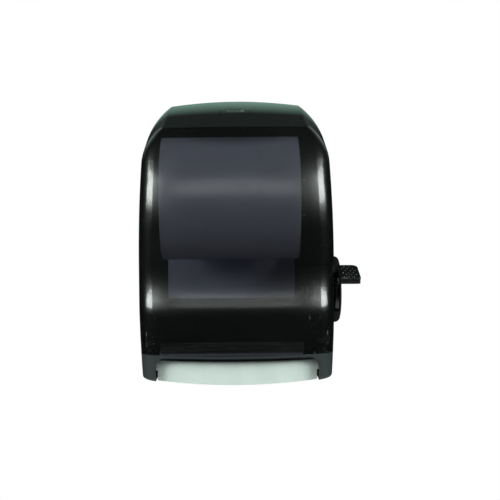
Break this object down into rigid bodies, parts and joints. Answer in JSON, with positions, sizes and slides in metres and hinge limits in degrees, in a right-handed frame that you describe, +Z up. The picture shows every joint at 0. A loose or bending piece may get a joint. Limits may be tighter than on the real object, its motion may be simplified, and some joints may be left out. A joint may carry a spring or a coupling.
{
  "type": "lever paper towel dispenser",
  "caption": "Wall-mounted roll towel dispenser with a smoke-tinted drop-down cover, a side lever that turns the feed roller, and a towel outlet at the bottom.",
  "frame": {"origin": "middle of the four wall-screw holes, on the back face that lies on the wall", "axes": "+X to the right, where the lever is; -Y to the front, so +Y points into the wall; +Z up"},
  "size_m": [0.3274, 0.235, 0.4196],
  "materials": {
    "smoked_plastic": "smoke-tinted, see-through, semi-gloss",
    "side_plastic": "opaque smoke black, semi-gloss",
    "band_plastic": "fine matt texture",
    "lever_plastic": "fine matt texture with a domed grip",
    "apron_plastic": "pale grey-green, satin",
    "frame_plastic": "moulded, matt",
    "gear_plastic": "black acetal",
    "steel": "plain bright",
    "spring_steel": "blued",
    "grip_rubber": "matt",
    "towel_paper": "creped white towel",
    "core_board": "spiral-wound board"
  },
  "bodies": {
    "root": {"back_plate": "frame_plastic", "feed_chassis": "frame_plastic", "roller_guard": "frame_plastic", "tear_blade": "steel", "paper_chute": "apron_plastic", "guide_bar": "steel", "feed_bushes": "gear_plastic", "lever_bush": "gear_plastic", "side_fairing": "side_plastic", "lever_cap": "band_plastic", "right_roll_arm": "frame_plastic", "arm_pin": "steel", "hinge_pins": "steel", "pinch_springs": "spring_steel", "return_spring": "spring_steel", "paper_web": "towel_paper", "chassis_screws": "steel"},
    "cover": {"cover": "smoked_plastic", "lower_bezel": "band_plastic", "bezel_screws": "steel"},
    "latch": {"latch_tongue": "smoked_plastic"},
    "left_arm": {"left_roll_arm": "frame_plastic"},
    "roll": {"paper_roll": "towel_paper", "roll_core": "core_board"},
    "feed": {"feed_shaft": "steel", "feed_drum": "frame_plastic", "feed_sleeves": "grip_rubber", "drive_pinion": "gear_plastic", "ratchet_wheel": "gear_plastic", "drive_pawl": "gear_plastic"},
    "pinch": {"pinch_shaft": "steel", "pinch_rollers": "grip_rubber"},
    "lever": {"lever": "lever_plastic", "lever_shaft": "steel", "sector_gear": "gear_plastic", "lever_screw": "steel"}
  },
  "joints": [
    {"name": "cover_hinge", "type": "hinge", "parent": "root", "child": "cover", "pos_m": [0, -0.012, -0.216], "axis": [1, 0, 0], "range_deg": [0, 90]},
    {"name": "latch_flex", "type": "hinge", "parent": "cover", "child": "latch", "pos_m": [0, -0.12, 0.15423], "axis": [-1, 0, 0], "range_deg": [0, 3], "stiffness_Nm_per_rad": 8},
    {"name": "roll_spin", "type": "hinge", "parent": "root", "child": "roll", "pos_m": [-0.0083, -0.108, 0.033], "axis": [-1, 0, 0], "range_deg": [0, 33.26]},
    {"name": "lever_hinge", "type": "hinge", "parent": "root", "child": "lever", "pos_m": [0.109, -0.098, -0.107], "axis": [1, 0, 0], "range_deg": [0, 45], "stiffness_Nm_per_rad": 0.5, "springref_deg": -20.05},
    {"name": "feed_spin", "type": "hinge", "parent": "root", "child": "feed", "pos_m": [-0.0083, -0.146, -0.143], "axis": [-1, 0, 0], "range_deg": [0, 180]},
    {"name": "pinch_spin", "type": "hinge", "parent": "root", "child": "pinch", "pos_m": [-0.0083, -0.146, -0.1712], "axis": [1, 0, 0], "range_deg": [0, 306]},
    {"name": "left_arm_swing", "type": "hinge", "parent": "root", "child": "left_arm", "pos_m": [-0.1226, -0.013, 0.033], "axis": [0, 0, -1], "range_deg": [0, 8]}
  ],
  "couplings": [
    {"joint": "lever_hinge", "follows": "roll_spin", "ratio": 1.3529},
    {"joint": "feed_spin", "follows": "roll_spin", "ratio": 5.4118},
    {"joint": "pinch_spin", "follows": "roll_spin", "ratio": 9.2}
  ]
}
